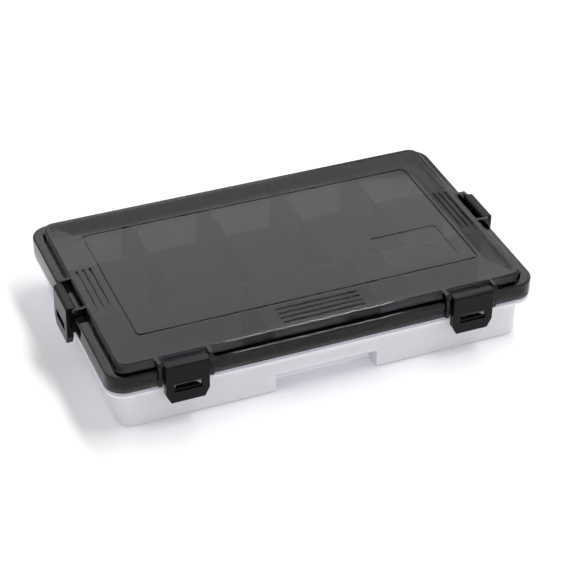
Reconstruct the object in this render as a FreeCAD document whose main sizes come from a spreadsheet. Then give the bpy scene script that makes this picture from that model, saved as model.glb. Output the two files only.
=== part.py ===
import FreeCAD, Part
import math
import os
import re
import Sketcher
from FreeCAD import Placement, Rotation, Vector

# A flat tackle box, closed: a base tray with ten loose dividers, and a lid with a seal,
# hinged at the back and held by four latches. Millimetres. The origin is the middle of
# the tray's underside, +X runs along the box, -Y is the front and +Z is up.

document = FreeCAD.newDocument("tackle_box")

# The driving sizes. Heights are measured up from the piece below, insets in from the
# outside of the lid's skirt.
DRIVING_SIZES = {
    "box_length": 277.8,
    "box_width": 168.4,
    "corner_radius": 12.2,
    # base tray
    "tray_wall": 1.8,
    "tray_floor": 1.8,
    "tray_end_inset": 7.4,
    "tray_front_inset": 4.7,
    "tray_corner_radius": 8.8,
    "tray_bottom_rounding": 3.0,
    "rim_height": 26.8,
    "lip_thickness": 1.6,
    "lip_inset": 0.3,
    "upstand_height": 4.9,
    "upstand_clearance": 0.4,
    "recess_length": 66.8,
    "recess_depth": 13.0,
    "recess_height": 13.6,
    "recess_rounding": 1.2,
    # inner walls, slots and dividers
    "row_width": 51.8,
    "row_wall": 1.6,
    "divider_thickness": 1.4,
    "divider_side_clearance": 0.15,
    "divider_end_clearance": 0.2,
    "divider_corner_cut": 2.0,
    "divider_spacing": 51.9,
    "front_divider_spacing": 69.2,
    "slot_rib_width": 1.0,
    "slot_rib_depth": 1.2,
    "lid_clearance": 0.6,
    "lid_side_clearance": 0.4,
    # lid
    "lid_wall": 1.8,
    "skirt_gap": 2.5,
    "skirt_height": 10.8,
    "rim_rounding": 1.0,
    "ledge_end_width": 6.2,
    "ledge_front_width": 4.7,
    "panel_rise": 5.1,
    "panel_draft": 1.0,
    "panel_corner_radius": 7.5,
    "panel_rounding": 1.5,
    "crown_height": 1.0,
    "crown_margin": 3.8,
    "crown_shoulder": 2.2,
    "field_end_inset": 19.7,
    "field_front_inset": 23.4,
    "field_corner_radius": 3.5,
    "groove_width": 1.0,
    "groove_depth": 1.1,
    "label_length": 46.5,
    "label_width": 36.3,
    "label_corner_radius": 3.0,
    "label_right": 78.8,
    "label_forward": 30.9,
    "label_depth": 0.35,
    "grip_pitch": 4.15,
    "grip_width": 1.2,
    "grip_depth": 1.2,
    "grip_front_length": 53.2,
    "grip_front_inset": 5.5,
    "grip_end_length": 42.0,
    "grip_end_inset": 5.8,
    # seal under the lid
    "seal_channel_width": 3.0,
    "seal_height": 4.0,
    "seal_side_clearance": 0.1,
    "seal_gap": 0.2,
    "seal_edge_cut": 0.6,
    "seal_rib_thickness": 1.7,
    "seal_rib_height": 2.0,
    # latches, their ears and pins
    "latch_spacing": 185.2,
    "latch_width": 27.0,
    "latch_standoff": 4.4,
    "latch_wall": 2.0,
    "latch_flange_wall": 1.6,
    "latch_drop": 25.4,
    "latch_back_clearance": 0.3,
    "latch_corner_width": 3.0,
    "latch_corner_height": 6.0,
    "latch_top_rounding": 1.8,
    "latch_edge_rounding": 0.5,
    "latch_pivot_inset": 0.5,
    "latch_pivot_height": 2.6,
    "latch_knuckle_radius": 1.9,
    "latch_pin_radius": 1.0,
    "window_width": 17.0,
    "window_height": 5.7,
    "window_sill": 1.5,
    "hook_height": 3.1,
    "hook_tip_width": 12.0,
    "hook_clearance": 0.2,
    "hook_lip_gap": 0.1,
    "ear_gap": 1.3,
    "ear_thickness": 2.4,
    "ear_standing": 1.5,
    "ear_corner": 1.7,
    # hinges at the back
    "hinge_spacing": 150.0,
    "hinge_length": 30.0,
    "hinge_lid_length": 12.0,
    "hinge_end_gap": 0.3,
    "hinge_offset": 3.8,
    "hinge_rise": 3.1,
    "hinge_knuckle_radius": 2.5,
    "hinge_pin_radius": 1.0,
    "running_clearance": 0.05,
}

# Places and sizes that follow from the driving ones
DERIVED_SIZES = {
    "half_length": "box_length / 2",
    "half_width": "box_width / 2",
    "tray_half_length": "half_length - tray_end_inset",
    "tray_half_width": "half_width - tray_front_inset",
    "inner_half_length": "tray_half_length - tray_wall",
    "inner_half_width": "tray_half_width - tray_wall",
    "lip_top": "rim_height + lip_thickness",
    "upstand_inset": "lid_wall + upstand_clearance",
    "upstand_top": "lip_top + upstand_height",
    "recess_half": "recess_length / 2",
    "recess_back": "tray_half_width - recess_depth",
    "recess_top": "recess_height + tray_wall",
    "row_half": "row_width / 2",
    "divider_half": "divider_thickness / 2",
    "panel_edge_end": "half_length - ledge_end_width - panel_draft",
    "panel_edge_front": "half_width - ledge_front_width - panel_draft",
    "divider_reach_end": "panel_edge_end - lid_wall - lid_side_clearance",
    "divider_reach_front": "panel_edge_front - lid_wall - lid_side_clearance",
    "skirt_bottom": "lip_top + skirt_gap",
    "ledge_top": "skirt_bottom + skirt_height",
    "ledge_underside": "ledge_top - lid_wall",
    "panel_edge_top": "ledge_top + panel_rise",
    "panel_top": "panel_edge_top + crown_height",
    "lid_ceiling": "panel_edge_top - lid_wall",
    "divider_top": "lid_ceiling - lid_clearance",
    "panel_taper": "atan(panel_draft / panel_rise)",
    "seal_bottom": "upstand_top + seal_gap",
    "seal_top": "seal_bottom + seal_height",
    "channel_inset": "lid_wall + seal_channel_width",
    "seal_rib_inset": "channel_inset + seal_rib_thickness",
    "slot_rib_top": "divider_top - slot_rib_depth",
    "slot_rib_offset": "divider_half + divider_side_clearance + slot_rib_width / 2",
    "latch_half": "latch_width / 2",
    "latch_axis_height": "ledge_top + latch_pivot_height",
    "latch_face": "latch_pivot_inset + latch_standoff",
    "latch_back": "latch_pivot_inset + latch_back_clearance",
    "hook_level": "latch_axis_height - lip_top + hook_height + hook_lip_gap",
    "hook_tip": "latch_pivot_inset - lip_inset + hook_clearance",
    "ear_inside": "latch_half + ear_gap",
    "ear_outside": "ear_inside + ear_thickness",
    "hinge_axis_back": "half_width + hinge_offset",
    "hinge_axis_height": "lip_top + hinge_rise",
    "hinge_lid_half": "hinge_lid_length / 2",
    "hinge_gap_half": "hinge_lid_half + hinge_end_gap",
}

sheet = document.addObject("Spreadsheet::Sheet", "Sizes")
for row, (alias, size) in enumerate(DRIVING_SIZES.items(), start=1):
    sheet.set(f"A{row}", alias.replace("_", " "))
    sheet.set(f"B{row}", str(size))
    sheet.setAlias(f"B{row}", alias)
document.recompute()


def bound(formula):
    """Write a formula in size names as an expression on the sheet."""
    def expand(match):
        word = match.group()
        if word in DRIVING_SIZES:
            return "Sizes." + word
        if word in DERIVED_SIZES:
            return "(" + bound(DERIVED_SIZES[word]) + ")"
        return word
    return re.sub(r"[a-z_]+", expand, formula)


def measure(formula):
    """Work a formula out to a number, for a first guess that a constraint then holds."""
    result = sheet.evalExpression(bound(formula))
    return float(getattr(result, "Value", result))


def new_body(label):
    body = document.addObject("PartDesign::Body", label)
    body.Label = label
    return body


def new_sketch(body, name, plane="XY_Plane", height="0"):
    """A sketch on one of the body's own planes, moved along its normal."""
    sketch = body.newObject("Sketcher::SketchObject", name)
    planes = [feature for feature in body.Origin.OriginFeatures if feature.Role == plane]
    sketch.AttachmentSupport = [(planes[0], "")]
    sketch.MapMode = "FlatFace"
    if height != "0":
        sketch.setExpression("AttachmentOffset.Base.z", bound(height))
    return sketch


def hold(sketch, name, kind, *arguments):
    """Add a constraint whose last argument is a formula, and tie it to the sheet."""
    formula = arguments[-1]
    constraint = Sketcher.Constraint(kind, *arguments[:-1], measure(formula))
    sketch.renameConstraint(sketch.addConstraint(constraint), name)
    sketch.setExpression("Constraints." + name, bound(formula))


def place_point(sketch, name, geometry, point, across, up):
    """Tie a point to the sketch's origin by its two coordinates."""
    for kind, letter, formula in (("DistanceX", "x", across), ("DistanceY", "y", up)):
        if abs(measure(formula)) > 1e-9:
            hold(sketch, name + letter, kind, -1, 1, geometry, point, formula)
        else:
            axis = -2 if letter == "x" else -1
            sketch.addConstraint(Sketcher.Constraint("PointOnObject", geometry, point, axis))


def draw_polygon(sketch, name, points):
    """A closed outline of straight lines through points given as pairs of formulas."""
    corners = [Vector(measure(across), measure(up), 0) for across, up in points]
    count = len(corners)
    lines = []
    for index, corner in enumerate(corners):
        line = Part.LineSegment(corner, corners[(index + 1) % count])
        lines.append(sketch.addGeometry(line, False))
    for index in range(count):
        joint = Sketcher.Constraint("Coincident", lines[index], 2, lines[(index + 1) % count], 1)
        sketch.addConstraint(joint)
        place_point(sketch, f"{name}{index}", lines[index], 1, *points[index])


def draw_rectangle(sketch, name, low_x, high_x, low_y, high_y):
    corners = [(low_x, low_y), (high_x, low_y), (high_x, high_y), (low_x, high_y)]
    draw_polygon(sketch, name, corners)


def draw_circle(sketch, name, across, up, radius):
    centre = Vector(measure(across), measure(up), 0)
    circle = Part.Circle(centre, Vector(0, 0, 1), measure(radius))
    index = sketch.addGeometry(circle, False)
    place_point(sketch, name, index, 3, across, up)
    hold(sketch, name + "r", "Radius", index, radius)


def draw_rounded(sketch, name, half_x, half_y, radius, middle_x="0", middle_y="0"):
    """A rectangle with round corners about a middle point."""
    reach_x, reach_y, turn = measure(half_x), measure(half_y), measure(radius)
    middle = Vector(measure(middle_x), measure(middle_y), 0)
    arcs = []
    lines = []
    signs = [(1, 1), (-1, 1), (-1, -1), (1, -1)]
    centres = [middle + Vector(a * (reach_x - turn), b * (reach_y - turn), 0) for a, b in signs]
    for quarter, centre in enumerate(centres):
        start = quarter * math.pi / 2
        circle = Part.Circle(centre, Vector(0, 0, 1), turn)
        arc = Part.ArcOfCircle(circle, start, start + math.pi / 2)
        arcs.append(sketch.addGeometry(arc, False))
    for quarter in range(4):
        start = sketch.Geometry[arcs[quarter]].EndPoint
        end = sketch.Geometry[arcs[(quarter + 1) % 4]].StartPoint
        lines.append(sketch.addGeometry(Part.LineSegment(start, end), False))
    for quarter in range(4):
        following = arcs[(quarter + 1) % 4]
        sketch.addConstraint(Sketcher.Constraint("Tangent", arcs[quarter], 2, lines[quarter], 1))
        sketch.addConstraint(Sketcher.Constraint("Tangent", lines[quarter], 2, following, 1))
        level = "Horizontal" if quarter % 2 == 0 else "Vertical"
        sketch.addConstraint(Sketcher.Constraint(level, lines[quarter]))
    for quarter in (1, 2, 3):
        sketch.addConstraint(Sketcher.Constraint("Equal", arcs[0], arcs[quarter]))
    hold(sketch, name + "radius", "Radius", arcs[0], radius)
    sides = (
        ("top", "DistanceY", lines[0], f"{middle_y} + {half_y}"),
        ("left", "DistanceX", lines[1], f"{middle_x} - ({half_x})"),
        ("bottom", "DistanceY", lines[2], f"{middle_y} - ({half_y})"),
        ("right", "DistanceX", lines[3], f"{middle_x} + {half_x}"),
    )
    for side, kind, line, formula in sides:
        hold(sketch, name + side, kind, -1, 1, line, 1, formula)


def pad(body, sketch, name, length, reversed_way=False, symmetric=False, taper=None):
    feature = body.newObject("PartDesign::Pad", name)
    feature.Refine = False
    feature.Profile = sketch
    feature.SideType = "Symmetric" if symmetric else "One side"
    feature.Reversed = reversed_way
    feature.setExpression("Length", bound(length))
    if taper:
        feature.setExpression("TaperAngle", bound(taper))
    return feature


def pocket(body, sketch, name, depth=None, reversed_way=False, symmetric=False, taper=None):
    """Cut away; with no depth it goes all the way."""
    feature = body.newObject("PartDesign::Pocket", name)
    feature.Refine = False
    feature.Profile = sketch
    feature.SideType = "Symmetric" if symmetric else "One side"
    feature.Reversed = reversed_way
    if depth:
        feature.setExpression("Length", bound(depth))
    else:
        feature.Type = "ThroughAll"
    if taper:
        feature.setExpression("TaperAngle", bound(taper))
    cuts.append((body, feature))
    return feature


def pattern(body, name, originals, axis, spacing, count):
    feature = body.newObject("PartDesign::LinearPattern", name)
    feature.Refine = False
    feature.Originals = originals
    axes = [item for item in body.Origin.OriginFeatures if item.Role == axis]
    feature.Direction = (axes[0], [""])
    feature.Mode = "Spacing"
    feature.setExpression("Offset", bound(spacing))
    feature.setExpression("Occurrences", bound(count))
    body.Tip = feature
    return feature


def mirror(body, name, originals, plane="YZ_Plane"):
    feature = body.newObject("PartDesign::Mirrored", name)
    feature.Refine = False
    feature.Originals = originals
    planes = [item for item in body.Origin.OriginFeatures if item.Role == plane]
    feature.MirrorPlane = (planes[0], [""])
    body.Tip = feature
    return feature


def near(value, formula):
    return abs(value - measure(formula)) < 0.01


def dress(body, kind, name, size, chosen):
    """Round or bevel the edges of the body so far that a test chooses by their box."""
    document.recompute()
    base = body.Tip
    edges = []
    for index, edge in enumerate(base.Shape.Edges, start=1):
        if chosen(edge.BoundBox):
            edges.append(f"Edge{index}")
    feature = body.newObject("PartDesign::" + kind, name)
    feature.Base = (base, edges)
    feature.setExpression("Radius" if kind == "Fillet" else "Size", bound(size))
    return feature


cuts = []

# Base tray: a thin-walled moulding with a lip all round and an upstand for the seal
tray = new_body("base_tray")
sketch = new_sketch(tray, "wall_outline")
draw_rounded(sketch, "wall", "tray_half_length", "tray_half_width", "tray_corner_radius")
pad(tray, sketch, "outer_wall", "rim_height")
dress(tray, "Fillet", "bottom_edge", "tray_bottom_rounding", lambda box: box.ZMax < 0.01)

sketch = new_sketch(tray, "lip_outline", height="rim_height")
draw_rounded(sketch, "lip", "half_length - lip_inset", "half_width - lip_inset",
             "corner_radius - lip_inset")
pad(tray, sketch, "lip", "lip_thickness")

sketch = new_sketch(tray, "upstand_outline", height="lip_top")
draw_rounded(sketch, "upstand", "half_length - upstand_inset", "half_width - upstand_inset",
             "corner_radius - upstand_inset")
pad(tray, sketch, "upstand", "upstand_height")

sketch = new_sketch(tray, "upstand_inside", height="upstand_top")
draw_rounded(sketch, "inside", "half_length - upstand_inset - tray_wall",
             "half_width - upstand_inset - tray_wall", "corner_radius - upstand_inset - tray_wall")
pocket(tray, sketch, "upstand_hollow", "upstand_height")

sketch = new_sketch(tray, "tray_inside", height="lip_top")
draw_rounded(sketch, "inside", "inner_half_length", "inner_half_width",
             "tray_corner_radius - tray_wall")
pocket(tray, sketch, "tray_hollow", "lip_top - tray_floor")

# Two long walls part the tray into three rows. They run into the end walls, and above
# the lip they end short of the lid.
for name, reach, top in (("low", "inner_half_length + tray_wall / 2", "lip_top"),
                         ("high", "divider_reach_end", "divider_top")):
    sketch = new_sketch(tray, "row_wall_plan_" + name, height="tray_floor")
    draw_rectangle(sketch, "back", f"-({reach})", reach,
                   "row_half - row_wall / 2", "row_half + row_wall / 2")
    draw_rectangle(sketch, "front", f"-({reach})", reach,
                   "-(row_half + row_wall / 2)", "-(row_half - row_wall / 2)")
    pad(tray, sketch, "row_walls_" + name, f"{top} - tray_floor")


def add_slots(name, spacing, count, faces):
    """A pair of ribs on each facing wall for every divider of a row, repeated along the box."""
    made = []
    first = f"-({count} - 1) / 2 * {spacing}"
    for face, (low_y, high_y, top) in faces.items():
        ribs = new_sketch(tray, f"{name}_{face}_ribs", height="tray_floor")
        for side, sign in (("left", "-"), ("right", "+")):
            middle = f"{first} {sign} slot_rib_offset"
            draw_rectangle(ribs, side, f"{middle} - slot_rib_width / 2",
                           f"{middle} + slot_rib_width / 2", low_y, high_y)
        made.append(pad(tray, ribs, f"{name}_{face}", f"{top} - tray_floor"))
    pattern(tray, name, made, "X_Axis", spacing, str(count))


row_dividers = 4
front_dividers = 2
add_slots("row_slots", "divider_spacing", row_dividers, {
    "outer": ("inner_half_width - slot_rib_depth", "inner_half_width + tray_wall / 2",
              "rim_height"),
    "back": ("row_half - row_wall / 2 - slot_rib_depth",
             "row_half + row_wall / 2 + slot_rib_depth", "slot_rib_top"),
    "front": ("-row_half", "-(row_half - row_wall / 2 - slot_rib_depth)", "slot_rib_top"),
})
add_slots("front_slots", "front_divider_spacing", front_dividers, {
    "outer": ("-(inner_half_width + tray_wall / 2)", "-(inner_half_width - slot_rib_depth)",
              "rim_height"),
    "inner": ("-(row_half + row_wall / 2 + slot_rib_depth)", "-row_half", "slot_rib_top"),
})

# The finger recess under the front, walled off from the front row
sketch = new_sketch(tray, "recess_housing_plan", height="tray_floor")
draw_rectangle(sketch, "housing", "-(recess_half + tray_wall)", "recess_half + tray_wall",
               "-(tray_half_width - tray_wall / 2)", "-(recess_back - tray_wall)")
pad(tray, sketch, "recess_housing", "recess_top - tray_floor")
sketch = new_sketch(tray, "recess_plan", height="recess_height")
draw_rectangle(sketch, "recess", "-recess_half", "recess_half", "-half_width", "-recess_back")
pocket(tray, sketch, "finger_recess")
dress(tray, "Fillet", "recess_edges", "recess_rounding",
      lambda box: near(abs(box.XMin), "recess_half") and near(box.XMax, str(box.XMin))
      and box.YMin < -measure("recess_back") - 1 and box.ZMax < measure("recess_height") + 1
      and not near(box.ZMin, "recess_height"))


def draw_arm(plan, name, points, body, start, length):
    """A hinge arm and its barrel, drawn from the side and run along the box."""
    side = new_sketch(body, plan, "YZ_Plane", start)
    draw_polygon(side, name, points)
    arm = pad(body, side, name, length)
    ring = new_sketch(body, name + "_ring", "YZ_Plane", start)
    draw_circle(ring, "barrel", "hinge_axis_back", "hinge_axis_height", "hinge_knuckle_radius")
    return [arm, pad(body, ring, name + "_barrel", length)]


# Hinge arms on the back of the lip, open in the middle for the lid's arm
lip_edge = "half_width - lip_inset"
arm_points = [
    (f"{lip_edge} - lip_thickness", "rim_height"),
    (lip_edge, "rim_height"),
    ("hinge_axis_back", "hinge_axis_height - hinge_knuckle_radius"),
    ("hinge_axis_back - hinge_knuckle_radius", "hinge_axis_height"),
    (lip_edge, "lip_top"),
    (f"{lip_edge} - lip_thickness", "lip_top"),
]
hinge = draw_arm("arm_side", "hinge_arm", arm_points, tray,
                 "hinge_spacing / 2 - hinge_length / 2", "hinge_length")
sketch = new_sketch(tray, "arm_gap_side", "YZ_Plane", "hinge_spacing / 2 - hinge_gap_half")
draw_rectangle(sketch, "gap", lip_edge, "hinge_axis_back + 2 * hinge_knuckle_radius",
               "rim_height - hinge_knuckle_radius", "hinge_axis_height + 2 * hinge_knuckle_radius")
hinge.append(pocket(tray, sketch, "arm_gap", "2 * hinge_gap_half", reversed_way=True))
mirror(tray, "hinge_arms", hinge)
sketch = new_sketch(tray, "hinge_bore_ring", "YZ_Plane")
draw_circle(sketch, "bore", "hinge_axis_back", "hinge_axis_height", "hinge_pin_radius")
pocket(tray, sketch, "hinge_bore", symmetric=True)

# Lid: a skirt and ledge round a raised panel, hollow underneath
lid = new_body("lid")
sketch = new_sketch(lid, "skirt_outline", height="skirt_bottom")
draw_rounded(sketch, "skirt", "half_length", "half_width", "corner_radius")
pad(lid, sketch, "skirt", "skirt_height")
dress(lid, "Fillet", "rim_edge", "rim_rounding", lambda box: near(box.ZMin, "ledge_top"))
sketch = new_sketch(lid, "panel_outline", height="ledge_top")
draw_rounded(sketch, "panel", "half_length - ledge_end_width", "half_width - ledge_front_width",
             "panel_corner_radius + panel_draft")
pad(lid, sketch, "panel", "panel_rise", taper="-panel_taper")
dress(lid, "Fillet", "panel_edge", "panel_rounding", lambda box: near(box.ZMin, "panel_edge_top"))



def add_crown(name, kind, level):
    """A very flat four-sided pyramid stump, which slopes the panel's border and creases its corners."""
    outlines = []
    for end, height, inset_end, inset_front in (
            ("low", level, "crown_margin", "crown_margin"),
            ("high", f"{level} + crown_height", "(field_end_inset - crown_shoulder)",
             "(field_front_inset - crown_shoulder)")):
        plan = new_sketch(lid, f"{name}_{end}", height=height)
        reach_x, reach_y = f"panel_edge_end - {inset_end}", f"panel_edge_front - {inset_front}"
        draw_rectangle(plan, "crown", f"-({reach_x})", reach_x, f"-({reach_y})", reach_y)
        outlines.append(plan)
    loft = lid.newObject("PartDesign::" + kind, name)
    loft.Profile = outlines[0]
    loft.Sections = [outlines[1]]
    loft.Refine = False


add_crown("crown", "AdditiveLoft", "panel_edge_top")

# Grooves in the top: round the middle field, round the label place and the grip lines
sketch = new_sketch(lid, "field_groove_plan", height="panel_top")
for name, grow in (("outer", "+ groove_width / 2"), ("inner", "- groove_width / 2")):
    draw_rounded(sketch, name, f"panel_edge_end - field_end_inset {grow}",
                 f"panel_edge_front - field_front_inset {grow}", f"field_corner_radius {grow}")
pocket(lid, sketch, "field_groove", "groove_depth")
sketch = new_sketch(lid, "label_plan", height="panel_top")
draw_rounded(sketch, "label", "label_length / 2", "label_width / 2", "label_corner_radius",
             "label_right", "-label_forward")
pocket(lid, sketch, "label_place", "label_depth")


def cut_grip(name, inset, field_inset, lines):
    """Straight grooves at one distance from the panel's edge, cut down to follow its slope."""
    slope = f"crown_height / ({field_inset} - crown_shoulder - crown_margin)"
    plan = new_sketch(lid, name + "_plan", height="panel_top")
    for line, bounds in enumerate(lines, start=1):
        draw_rectangle(plan, f"line_{line}", *bounds)
    pocket(lid, plan, name,
           f"crown_height - {slope} * ({inset} - crown_margin) + grip_depth")


front_grips = 4
end_grips = 3
for number in range(1, front_grips + 1):
    inset = f"(grip_front_inset + {number - 1} * grip_pitch)"
    middle = f"{inset} - panel_edge_front"
    cut_grip(f"front_grip_{number}", inset, "field_front_inset", [
        ("-grip_front_length / 2", "grip_front_length / 2",
         f"{middle} - grip_width / 2", f"{middle} + grip_width / 2")])
for number in range(1, end_grips + 1):
    inset = f"(grip_end_inset + {number - 1} * grip_pitch)"
    cut_grip(f"end_grip_{number}", inset, "field_end_inset", [
        (f"{sign}(panel_edge_end - {inset}) - grip_width / 2",
         f"{sign}(panel_edge_end - {inset}) + grip_width / 2",
         "-grip_end_length / 2", "grip_end_length / 2") for sign in ("-", "+")])

# Underneath: the seal's channel inside the skirt, the rib that keeps the seal in place,
# and the hollow of the raised panel
sketch = new_sketch(lid, "channel_plan", height="skirt_bottom")
draw_rounded(sketch, "channel", "half_length - lid_wall", "half_width - lid_wall",
             "corner_radius - lid_wall")
pocket(lid, sketch, "channel", "seal_top - skirt_bottom", reversed_way=True)
sketch = new_sketch(lid, "seal_rib_plan", height="seal_top")
for name, inset in (("outer", "channel_inset"), ("inner", "seal_rib_inset")):
    draw_rounded(sketch, name, f"half_length - {inset}", f"half_width - {inset}",
                 f"corner_radius - {inset}")
pad(lid, sketch, "seal_rib", "seal_rib_height", reversed_way=True)
sketch = new_sketch(lid, "ledge_hollow_plan", height="seal_top")
draw_rounded(sketch, "hollow", "half_length - seal_rib_inset", "half_width - seal_rib_inset",
             "corner_radius - seal_rib_inset")
pocket(lid, sketch, "ledge_hollow", "ledge_underside - seal_top", reversed_way=True)
sketch = new_sketch(lid, "panel_hollow_plan", height="ledge_underside")
draw_rounded(sketch, "hollow", "half_length - ledge_end_width - lid_wall",
             "half_width - ledge_front_width - lid_wall",
             "panel_corner_radius + panel_draft - lid_wall")
pocket(lid, sketch, "panel_hollow", "lid_ceiling - ledge_underside", reversed_way=True,
       taper="-panel_taper")
add_crown("crown_hollow", "SubtractiveLoft", "lid_ceiling")


def ear_profile(half_size, ledge_width, sign):
    """The side of a latch ear, from the raised panel over the ledge and down the skirt."""
    inside = f"{half_size} - {ledge_width} - lid_wall / 2"
    top_inside = f"{half_size} - {ledge_width} - panel_draft - panel_rounding"
    skirt_middle = f"{half_size} - lid_wall / 2"
    face = f"{half_size} + ear_standing"
    points = [
        (top_inside, "panel_edge_top"),
        (top_inside, "panel_edge_top - lid_wall / 2"),
        (inside, "ledge_top"),
        (inside, "ledge_top - lid_wall / 2"),
        (skirt_middle, "ledge_top - lid_wall / 2"),
        (skirt_middle, "skirt_bottom"),
        (face, "skirt_bottom"),
        (face, "panel_edge_top - ear_corner"),
        (f"{face} - ear_corner", "panel_edge_top"),
    ]
    return [(f"{sign}({across})", up) for across, up in points]


# Two ears carry each latch; those at the front and the right are made and mirrored
ears = []
for name, plane, start, profile in (
        ("front_inner", "YZ_Plane", "latch_spacing / 2 - ear_outside",
         ear_profile("half_width", "ledge_front_width", "-")),
        ("front_outer", "YZ_Plane", "latch_spacing / 2 + ear_inside",
         ear_profile("half_width", "ledge_front_width", "-")),
        ("end_front", "XZ_Plane", "ear_inside",
         ear_profile("half_length", "ledge_end_width", "+")),
        ("end_back", "XZ_Plane", "-ear_outside",
         ear_profile("half_length", "ledge_end_width", "+"))):
    sketch = new_sketch(lid, name + "_ear_side", plane, start)
    draw_polygon(sketch, "ear", profile)
    ears.append(pad(lid, sketch, name + "_ear", "ear_thickness"))
mirror(lid, "ears", ears)
sketch = new_sketch(lid, "front_pin_rings", "YZ_Plane")
draw_circle(sketch, "pin", "-(half_width - latch_pivot_inset)", "latch_axis_height",
            "latch_pin_radius")
pocket(lid, sketch, "front_pin_bores", symmetric=True)
sketch = new_sketch(lid, "end_pin_rings", "XZ_Plane")
for name, sign in (("left", "-"), ("right", "+")):
    draw_circle(sketch, name, f"{sign}(half_length - latch_pivot_inset)", "latch_axis_height",
                "latch_pin_radius")
pocket(lid, sketch, "end_pin_bores", symmetric=True)

# The lid's own hinge arms, between those of the tray
arm_points = [
    ("half_width - lid_wall / 2", "skirt_bottom"),
    ("hinge_axis_back", "hinge_axis_height - hinge_knuckle_radius"),
    ("hinge_axis_back", "hinge_axis_height + hinge_knuckle_radius"),
    ("half_width", "hinge_axis_height + hinge_knuckle_radius + hinge_offset"),
    ("half_width - lid_wall / 2", "hinge_axis_height + hinge_knuckle_radius + hinge_offset"),
]
hinge = draw_arm("arm_side", "hinge_arm", arm_points, lid,
                 "hinge_spacing / 2 - hinge_lid_half", "hinge_lid_length")
mirror(lid, "hinge_arms", hinge)
sketch = new_sketch(lid, "hinge_bore_ring", "YZ_Plane")
draw_circle(sketch, "bore", "hinge_axis_back", "hinge_axis_height",
            "hinge_pin_radius + running_clearance")
pocket(lid, sketch, "hinge_bore", symmetric=True)

# Seal: a rubber ring that fills the channel and bears on the upstand
seal = new_body("lid_seal")
sketch = new_sketch(seal, "ring_plan", height="seal_bottom")
for name, inset in (("outer", "(lid_wall + seal_side_clearance)"),
                    ("inner", "(channel_inset - seal_side_clearance)")):
    draw_rounded(sketch, name, f"half_length - {inset}", f"half_width - {inset}",
                 f"corner_radius - {inset}")
pad(seal, sketch, "ring", "seal_height")
dress(seal, "Chamfer", "ring_edges", "seal_edge_cut",
      lambda box: near(box.ZMax, "seal_bottom"))
subparts = [tray, lid, seal]


def set_place(piece, across, back, up, turn):
    piece.Placement = Placement(Vector(0, 0, 0), turn)
    for letter, formula in (("x", across), ("y", back), ("z", up)):
        piece.setExpression("Placement.Base." + letter, bound(formula))


def add_latch(label, across, back, angle):
    """A latch about its own pivot: +X along the pin, -Y outwards and +Z up."""
    latch = new_body(label)
    half, drop = "latch_half", "latch_drop"
    outline = new_sketch(latch, "outline", "XZ_Plane", "latch_back")
    draw_polygon(outline, "outline", [
        (f"-{half}", "latch_knuckle_radius"),
        (f"-{half}", f"-({drop} - latch_corner_height)"),
        (f"-({half} - latch_corner_width)", f"-{drop}"),
        (f"{half} - latch_corner_width", f"-{drop}"),
        (half, f"-({drop} - latch_corner_height)"),
        (half, "latch_knuckle_radius"),
    ])
    pad(latch, outline, "plate", "latch_face - latch_back")
    dress(latch, "Fillet", "top_bend", "latch_top_rounding",
          lambda box: near(box.ZMin, "latch_knuckle_radius") and near(box.YMax, "-latch_face"))
    dress(latch, "Fillet", "face_edges", "latch_edge_rounding",
          lambda box: near(box.YMax, "-latch_face") and near(box.YMin, "-latch_face")
          and box.ZMin < -measure("latch_wall"))
    hollow = new_sketch(latch, "hollow_outline", "XZ_Plane", "latch_back")
    inset = "latch_flange_wall"
    draw_polygon(hollow, "hollow", [
        (f"-({half} - {inset})", "latch_knuckle_radius - latch_wall"),
        (f"-({half} - {inset})", f"-({drop} - latch_corner_height)"),
        (f"-({half} - latch_corner_width - {inset} / 2)", f"-({drop} - {inset})"),
        (f"{half} - latch_corner_width - {inset} / 2", f"-({drop} - {inset})"),
        (f"{half} - {inset}", f"-({drop} - latch_corner_height)"),
        (f"{half} - {inset}", "latch_knuckle_radius - latch_wall"),
    ])
    pocket(latch, hollow, "hollow", "latch_face - latch_back - latch_wall", reversed_way=True)
    arm = new_sketch(latch, "arm_side", "YZ_Plane")
    draw_rectangle(arm, "arm", "-(latch_face - latch_wall)", "0",
                   "latch_knuckle_radius - latch_wall", "latch_knuckle_radius")
    pad(latch, arm, "arm", "latch_width", symmetric=True)
    for name, radius in (("knuckle", "latch_knuckle_radius"),
                         ("bore", "latch_pin_radius + running_clearance")):
        ring = new_sketch(latch, name + "_ring", "YZ_Plane")
        draw_circle(ring, name, "0", "0", radius)
        if name == "knuckle":
            pad(latch, ring, name, "latch_width", symmetric=True)
        else:
            pocket(latch, ring, name, symmetric=True)
    window = new_sketch(latch, "window_outline", "XZ_Plane", "latch_face")
    draw_rectangle(window, "window", "-window_width / 2", "window_width / 2",
                   "-(hook_level - window_sill)", "-(hook_level - window_sill - window_height)")
    pocket(latch, window, "window")
    hook = new_sketch(latch, "hook_plan", "XY_Plane", "-hook_level")
    root = "-(latch_face - latch_wall / 2)"
    draw_polygon(hook, "hook", [
        ("-window_width / 2", root),
        ("window_width / 2", root),
        ("hook_tip_width / 2", "-hook_tip"),
        ("-hook_tip_width / 2", "-hook_tip"),
    ])
    pad(latch, hook, "hook", "hook_height")
    set_place(latch, across, back, "latch_axis_height", Rotation(Vector(0, 0, 1), angle))
    return latch


def add_pin(label, radius, length, start, turn):
    pin = document.addObject("Part::Cylinder", label)
    pin.Label = label
    pin.setExpression("Radius", bound(radius))
    pin.setExpression("Height", bound(length))
    set_place(pin, *start, turn)
    return pin


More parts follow.
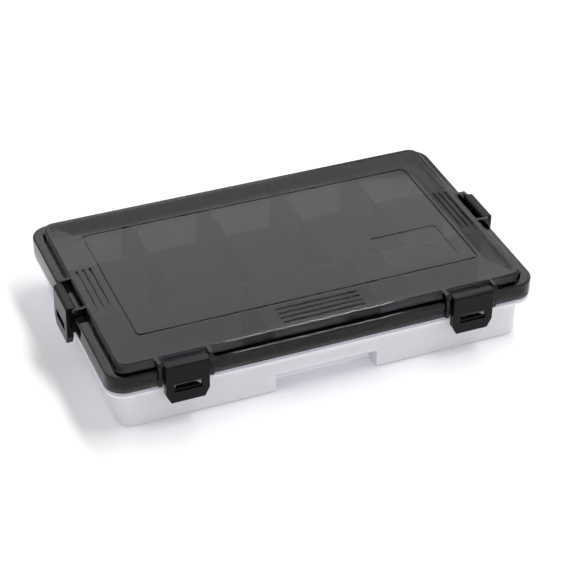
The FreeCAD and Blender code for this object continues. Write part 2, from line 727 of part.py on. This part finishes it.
# Four equal latches and their pins
along_x = Rotation(Vector(0, 1, 0), 90)
along_y = Rotation(Vector(1, 0, 0), -90)
front = "-(half_width - latch_pivot_inset)"
end = "half_length - latch_pivot_inset"
for name, across, back, angle in (
        ("front_left", "-latch_spacing / 2", front, 0),
        ("front_right", "latch_spacing / 2", front, 0),
        ("left", f"-({end})", "0", -90),
        ("right", end, "0", 90)):
    subparts.append(add_latch("latch_" + name, across, back, angle))
    if angle:
        start, turn = (across, "-ear_outside", "latch_axis_height"), along_y
    else:
        start, turn = (f"{across} - ear_outside", back, "latch_axis_height"), along_x
    subparts.append(add_pin("latch_pin_" + name, "latch_pin_radius", "2 * ear_outside", start, turn))

# Hinge pins
for name, sign in (("left", "-"), ("right", "+")):
    start = f"{sign}hinge_spacing / 2 - hinge_length / 2"
    subparts.append(add_pin("hinge_pin_" + name, "hinge_pin_radius", "hinge_length",
                            (start, "hinge_axis_back", "hinge_axis_height"), along_x))


def add_divider(label, points, across):
    divider = new_body(label)
    side = new_sketch(divider, "side", "YZ_Plane")
    draw_polygon(side, "side", points)
    pad(divider, side, "plate", "divider_thickness", symmetric=True)
    set_place(divider, across, "0", "0", Rotation())
    return divider


# Ten loose dividers, each a thin plate that stands in a pair of slots. Those that meet an
# outer wall are narrower above the lip, and the front ones step over the recess housing.
inner_end = "row_half + row_wall / 2 + divider_end_clearance"
outer_end = "inner_half_width - divider_end_clearance"
reach = "divider_reach_front"
cut = "divider_corner_cut"
back_points = [
    (f"{inner_end} + {cut}", "tray_floor"),
    (f"{outer_end} - {cut}", "tray_floor"),
    (outer_end, f"tray_floor + {cut}"),
    (outer_end, "lip_top"),
    (reach, "lip_top"),
    (reach, "divider_top"),
    (inner_end, "divider_top"),
    (inner_end, f"tray_floor + {cut}"),
]
row_end = "row_half - row_wall / 2 - divider_end_clearance"
middle_points = [
    (f"-({row_end} - {cut})", "tray_floor"),
    (f"{row_end} - {cut}", "tray_floor"),
    (row_end, f"tray_floor + {cut}"),
    (row_end, "divider_top"),
    (f"-({row_end})", "divider_top"),
    (f"-({row_end})", f"tray_floor + {cut}"),
]
housing_end = "recess_back - tray_wall - divider_end_clearance"
front_points = [
    (f"-({inner_end} + {cut})", "tray_floor"),
    (f"-({inner_end})", f"tray_floor + {cut}"),
    (f"-({inner_end})", "divider_top"),
    (f"-{reach}", "divider_top"),
    (f"-{reach}", "lip_top"),
    (f"-({outer_end})", "lip_top"),
    (f"-({outer_end})", "recess_top + divider_end_clearance"),
    (f"-({housing_end})", "recess_top + divider_end_clearance"),
    (f"-({housing_end})", "tray_floor"),
]
for number in range(1, row_dividers + 1):
    across = f"({number} - ({row_dividers} + 1) / 2) * divider_spacing"
    subparts.append(add_divider(f"divider_back_{number}", back_points, across))
    subparts.append(add_divider(f"divider_middle_{number}", middle_points, across))
for number in range(1, front_dividers + 1):
    across = f"({number} - ({front_dividers} + 1) / 2) * front_divider_spacing"
    subparts.append(add_divider(f"divider_front_{number}", front_points, across))

document.recompute()
for item in document.Objects:
    if "Invalid" in item.State or "Error" in item.State:
        raise RuntimeError(f"{item.Label} failed: {item.State}")
for body, feature in cuts:
    if feature.BaseFeature.Shape.Volume - feature.Shape.Volume < 0.01:
        raise RuntimeError(f"{feature.Label} of {body.Label} cuts nothing")
for piece in subparts:
    if piece.Shape.isNull() or not piece.Shape.isValid():
        raise RuntimeError(f"{piece.Label} has no valid shape")

os.makedirs("parts", exist_ok=True)
for piece in subparts:
    piece.Shape.exportStep(f"parts/{piece.Label}.step")
    print(f"{piece.Label}: {len(piece.Shape.Solids)} solid, {piece.Shape.Volume:.0f} mm3")
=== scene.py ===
import math

import bpy
from mathutils import Matrix, Vector

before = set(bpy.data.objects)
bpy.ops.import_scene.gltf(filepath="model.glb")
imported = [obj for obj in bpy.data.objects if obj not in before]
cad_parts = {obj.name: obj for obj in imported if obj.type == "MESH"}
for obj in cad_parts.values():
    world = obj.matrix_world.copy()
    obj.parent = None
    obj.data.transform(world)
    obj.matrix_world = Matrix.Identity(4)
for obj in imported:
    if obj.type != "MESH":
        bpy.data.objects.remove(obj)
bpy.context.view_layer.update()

scene = bpy.context.scene
scene.view_settings.view_transform = "Standard"

# Camera: a product photographer's long lens, above the front left corner of the box.
# Its place is given by the way it looks and by how far it stands from the box.
camera_azimuth = math.radians(-22.98)
camera_elevation = math.radians(35.85)
camera_roll = math.radians(1.07)
camera_distance = 1.18915
camera_aside = 0.00639
camera_raise = 0.01278
camera_lens = 115.7
back = Vector((math.sin(camera_azimuth) * math.cos(camera_elevation),
               -math.cos(camera_azimuth) * math.cos(camera_elevation),
               math.sin(camera_elevation)))
level_right = Vector((0, 0, 1)).cross(back).normalized()
level_up = back.cross(level_right)
right = math.cos(camera_roll) * level_right + math.sin(camera_roll) * level_up
up = math.cos(camera_roll) * level_up - math.sin(camera_roll) * level_right
camera_data = bpy.data.cameras.new("camera")
camera_data.lens = camera_lens
camera_data.sensor_width = 36.0
camera_data.clip_start = 0.05
camera_data.clip_end = 50.0
camera = bpy.data.objects.new("camera", camera_data)
place = back * camera_distance + right * camera_aside + up * camera_raise
camera.matrix_world = Matrix.Translation(place) @ Matrix((right, up, back)).transposed().to_4x4()
scene.collection.objects.link(camera)
scene.camera = camera

# Studio: a white tent, seen white by the camera and in plastic and steel,
# that lights the box softly from all round and most from low down


def seen_directly(nodes, links):
    """One where a ray shows the background: from the camera, in a gloss or through plastic."""
    ray = nodes.new("ShaderNodeLightPath")
    seen = ray.outputs["Is Camera Ray"]
    for kind in ("Is Glossy Ray", "Is Transmission Ray"):
        either = nodes.new("ShaderNodeMath")
        either.operation = "MAXIMUM"
        links.new(seen, either.inputs[0])
        links.new(ray.outputs[kind], either.inputs[1])
        seen = either.outputs[0]
    return seen


tent_horizon = 1.1
tent_top = 0.5
horizon_height = 0.05
top_height = 0.5
world = bpy.data.worlds.new("tent")
scene.world = world
world.use_nodes = True
nodes, links = world.node_tree.nodes, world.node_tree.links
nodes.clear()
direction = nodes.new("ShaderNodeTexCoord")
height = nodes.new("ShaderNodeSeparateXYZ")
links.new(direction.outputs["Generated"], height.inputs["Vector"])
tent_light = nodes.new("ShaderNodeMapRange")
tent_light.inputs["From Min"].default_value = horizon_height
tent_light.inputs["From Max"].default_value = top_height
tent_light.inputs["To Min"].default_value = tent_horizon
tent_light.inputs["To Max"].default_value = tent_top
links.new(height.outputs["Z"], tent_light.inputs["Value"])
strength = nodes.new("ShaderNodeMix")
strength.data_type = "FLOAT"
links.new(seen_directly(nodes, links), strength.inputs["Factor"])
links.new(tent_light.outputs["Result"], strength.inputs["A"])
strength.inputs["B"].default_value = 1.0
tent = nodes.new("ShaderNodeBackground")
tent.inputs["Color"].default_value = (1.0, 1.0, 1.0, 1.0)
links.new(strength.outputs["Result"], tent.inputs["Strength"])
world_out = nodes.new("ShaderNodeOutputWorld")
links.new(tent.outputs["Background"], world_out.inputs["Surface"])


def add_softbox(name, place, width, height, energy):
    """A soft lamp that faces the box."""
    light = bpy.data.lights.new(name, "AREA")
    light.shape = "RECTANGLE"
    light.size = width
    light.size_y = height
    light.energy = energy
    lamp = bpy.data.objects.new(name, light)
    lamp.location = place
    lamp.rotation_euler = (-lamp.location).to_track_quat("-Z", "Y").to_euler()
    scene.collection.objects.link(lamp)


# A long lamp hangs overhead and runs from front to back, so that the bends along the box shine.
# The other stands behind, where the flat top of the lid mirrors it, but the parts of the
# border that slope back and to the right don't.
add_softbox("overhead_softbox", (0.5, 0.0, 1.5), width=1.3, height=0.26, energy=16.0)
add_softbox("back_softbox", (0.66, 1.54, 1.43), width=1.2, height=0.64, energy=2.8)

# Floor: a sheet of white paper that keeps the soft shadow of the box. It is seen a little
# lighter than it is lit, and more so further out, where it runs into the tent.
floor_reach = 6.0
near_lift = 0.1
far_lift = 0.5
lift_grows_from = 0.5
lift_grows_to = 1.5
paper_white = (0.93, 0.93, 0.93, 1.0)
mesh = bpy.data.meshes.new("floor")
mesh.from_pydata([(-floor_reach, -floor_reach, 0), (floor_reach, -floor_reach, 0),
                  (floor_reach, floor_reach, 0), (-floor_reach, floor_reach, 0)],
                 [], [(0, 1, 2, 3)])
floor = bpy.data.objects.new("floor", mesh)
scene.collection.objects.link(floor)
paper = bpy.data.materials.new("white_paper")
paper.use_nodes = True
nodes, links = paper.node_tree.nodes, paper.node_tree.links
nodes.clear()
diffuse = nodes.new("ShaderNodeBsdfDiffuse")
diffuse.inputs["Color"].default_value = paper_white
lift = nodes.new("ShaderNodeEmission")
spot = nodes.new("ShaderNodeNewGeometry")
distance = nodes.new("ShaderNodeVectorMath")
distance.operation = "LENGTH"
links.new(spot.outputs["Position"], distance.inputs["Vector"])
lift_there = nodes.new("ShaderNodeMapRange")
lift_there.inputs["From Min"].default_value = lift_grows_from
lift_there.inputs["From Max"].default_value = lift_grows_to
lift_there.inputs["To Min"].default_value = near_lift
lift_there.inputs["To Max"].default_value = far_lift
links.new(distance.outputs["Value"], lift_there.inputs["Value"])
lift_strength = nodes.new("ShaderNodeMath")
lift_strength.operation = "MULTIPLY"
links.new(seen_directly(nodes, links), lift_strength.inputs[0])
links.new(lift_there.outputs["Result"], lift_strength.inputs[1])
links.new(lift_strength.outputs[0], lift.inputs["Strength"])
both = nodes.new("ShaderNodeAddShader")
links.new(diffuse.outputs["BSDF"], both.inputs[0])
links.new(lift.outputs["Emission"], both.inputs[1])
paper_out = nodes.new("ShaderNodeOutputMaterial")
links.new(both.outputs["Shader"], paper_out.inputs["Surface"])
mesh.materials.append(paper)

# Base tray: one injection moulding of milky polypropylene, with the long inner walls, the
# slots for the dividers, the lip and the hinge arms. Light goes into the plastic and softens
# its shading.


def skin_group():
    """The skin of a piece: a fine grain, and a gloss that is a little uneven."""
    group = bpy.data.node_groups.new("skin", "ShaderNodeTree")
    for name in ("Grain Scale", "Grain Height", "Grain Strength", "Smooth", "Rough"):
        group.interface.new_socket(name, in_out="INPUT", socket_type="NodeSocketFloat")
    group.interface.new_socket("Roughness", in_out="OUTPUT", socket_type="NodeSocketFloat")
    group.interface.new_socket("Normal", in_out="OUTPUT", socket_type="NodeSocketVector")
    nodes, links = group.nodes, group.links
    inside = nodes.new("NodeGroupInput")
    outside = nodes.new("NodeGroupOutput")
    where = nodes.new("ShaderNodeTexCoord")
    grain = nodes.new("ShaderNodeTexNoise")
    grain.inputs["Detail"].default_value = 3.0
    links.new(where.outputs["Object"], grain.inputs["Vector"])
    links.new(inside.outputs["Grain Scale"], grain.inputs["Scale"])
    bump = nodes.new("ShaderNodeBump")
    links.new(grain.outputs["Fac"], bump.inputs["Height"])
    links.new(inside.outputs["Grain Height"], bump.inputs["Distance"])
    links.new(inside.outputs["Grain Strength"], bump.inputs["Strength"])
    links.new(bump.outputs["Normal"], outside.inputs["Normal"])
    cloud = nodes.new("ShaderNodeTexNoise")
    cloud.inputs["Scale"].default_value = 35.0
    cloud.inputs["Detail"].default_value = 5.0
    links.new(where.outputs["Object"], cloud.inputs["Vector"])
    gloss = nodes.new("ShaderNodeMapRange")
    gloss.inputs["From Min"].default_value = 0.3
    gloss.inputs["From Max"].default_value = 0.7
    links.new(cloud.outputs["Fac"], gloss.inputs["Value"])
    links.new(inside.outputs["Smooth"], gloss.inputs["To Min"])
    links.new(inside.outputs["Rough"], gloss.inputs["To Max"])
    links.new(gloss.outputs["Result"], outside.inputs["Roughness"])
    return group


skin = skin_group()


def finish(name, colour, variation, smooth, rough, grain_scale, grain_height, grain_strength):
    """A plain material whose colour drifts a little, with a grain and a gloss of its own."""
    material = bpy.data.materials.new(name)
    material.use_nodes = True
    nodes, links = material.node_tree.nodes, material.node_tree.links
    shader = nodes["Principled BSDF"]
    surface = nodes.new("ShaderNodeGroup")
    surface.node_tree = skin
    surface.inputs["Smooth"].default_value = smooth
    surface.inputs["Rough"].default_value = rough
    surface.inputs["Grain Scale"].default_value = grain_scale
    surface.inputs["Grain Height"].default_value = grain_height
    surface.inputs["Grain Strength"].default_value = grain_strength
    links.new(surface.outputs["Roughness"], shader.inputs["Roughness"])
    links.new(surface.outputs["Normal"], shader.inputs["Normal"])
    where = nodes.new("ShaderNodeTexCoord")
    drift = nodes.new("ShaderNodeTexNoise")
    drift.inputs["Scale"].default_value = 12.0
    drift.inputs["Detail"].default_value = 3.0
    links.new(where.outputs["Object"], drift.inputs["Vector"])
    tint = nodes.new("ShaderNodeMix")
    tint.data_type = "RGBA"
    tint.inputs["A"].default_value = (*[part * (1 - variation) for part in colour], 1.0)
    tint.inputs["B"].default_value = (*[part * (1 + variation) for part in colour], 1.0)
    links.new(drift.outputs["Fac"], tint.inputs["Factor"])
    links.new(tint.outputs["Result"], shader.inputs["Base Color"])
    return material, shader


def dress(node, material):
    """Give a piece its one material."""
    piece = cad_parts[node]
    piece.data.materials.clear()
    piece.data.materials.append(material)


milky, shader = finish("milky_polypropylene", (0.87, 0.855, 0.97), variation=0.01,
                       smooth=0.32, rough=0.42,
                       grain_scale=1400.0, grain_height=0.00001, grain_strength=0.15)
shader.inputs["IOR"].default_value = 1.49
shader.inputs["Subsurface Weight"].default_value = 0.6
shader.inputs["Subsurface Radius"].default_value = (1.0, 1.0, 1.2)
shader.inputs["Subsurface Scale"].default_value = 0.008
dress("base_tray", milky)

# Dividers: ten loose plates, moulded in a clearer polypropylene than the tray. Each one slides
# down between two pairs of ribs and is lifted out by hand.
clear, shader = finish("clear_polypropylene", (0.55, 0.545, 0.58), variation=0.02,
                       smooth=0.3, rough=0.4,
                       grain_scale=1400.0, grain_height=0.00001, grain_strength=0.15)
shader.inputs["IOR"].default_value = 1.3
shader.inputs["Transmission Weight"].default_value = 0.6
for name in sorted(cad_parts):
    if name.startswith("divider_"):
        dress(name, clear)

# Lid: one moulding of smoked, see-through polycarbonate with a polished skin, hinged to the
# tray at the back. The smoke is in its depth, so thin walls let some light through and thick
# places, such as the ears, are nearly black.
smoked, shader = finish("smoked_polycarbonate", (0.93, 0.93, 0.94), variation=0.01,
                        smooth=0.04, rough=0.07,
                        grain_scale=260.0, grain_height=0.000003, grain_strength=0.02)
shader.inputs["Transmission Weight"].default_value = 1.0
shader.inputs["IOR"].default_value = 1.34
nodes, links = smoked.node_tree.nodes, smoked.node_tree.links
smoke = nodes.new("ShaderNodeVolumeAbsorption")
smoke.inputs["Color"].default_value = (0.06, 0.04, 0.05, 1.0)
smoke.inputs["Density"].default_value = 1000.0
links.new(smoke.outputs["Volume"], nodes["Material Output"].inputs["Volume"])
dress("lid", smoked)

# Lid seal: a moulded ring of soft black rubber, matt all over. It is pressed into the channel
# under the lid's rim and closes on the upstand of the tray.
rubber, shader = finish("black_rubber", (0.016, 0.016, 0.017), variation=0.1,
                        smooth=0.6, rough=0.75,
                        grain_scale=2500.0, grain_height=0.00003, grain_strength=0.4)
shader.inputs["Specular IOR Level"].default_value = 0.3
dress("lid_seal", rubber)

# Latches: four equal hollow plates, moulded in glossy black acetal. Each one turns on a pin
# between two ears of the lid, and its hook closes on the lip of the tray.
black, shader = finish("black_acetal", (0.003, 0.003, 0.0033), variation=0.1,
                       smooth=0.16, rough=0.24,
                       grain_scale=1800.0, grain_height=0.00001, grain_strength=0.12)
shader.inputs["Specular IOR Level"].default_value = 0.15
for name in ("latch_front_left", "latch_front_right", "latch_left", "latch_right"):
    dress(name, black)

# Pins: blackened steel wire, drawn and cut to length. Four are pressed into the ears of the
# lid for the latches, and two into the tray's hinge arms.
steel, shader = finish("blackened_steel", (0.03, 0.03, 0.031), variation=0.05,
                       smooth=0.3, rough=0.45,
                       grain_scale=3000.0, grain_height=0.00001, grain_strength=0.3)
shader.inputs["Metallic"].default_value = 1.0
for name in sorted(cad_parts):
    if "_pin_" in name:
        dress(name, steel)
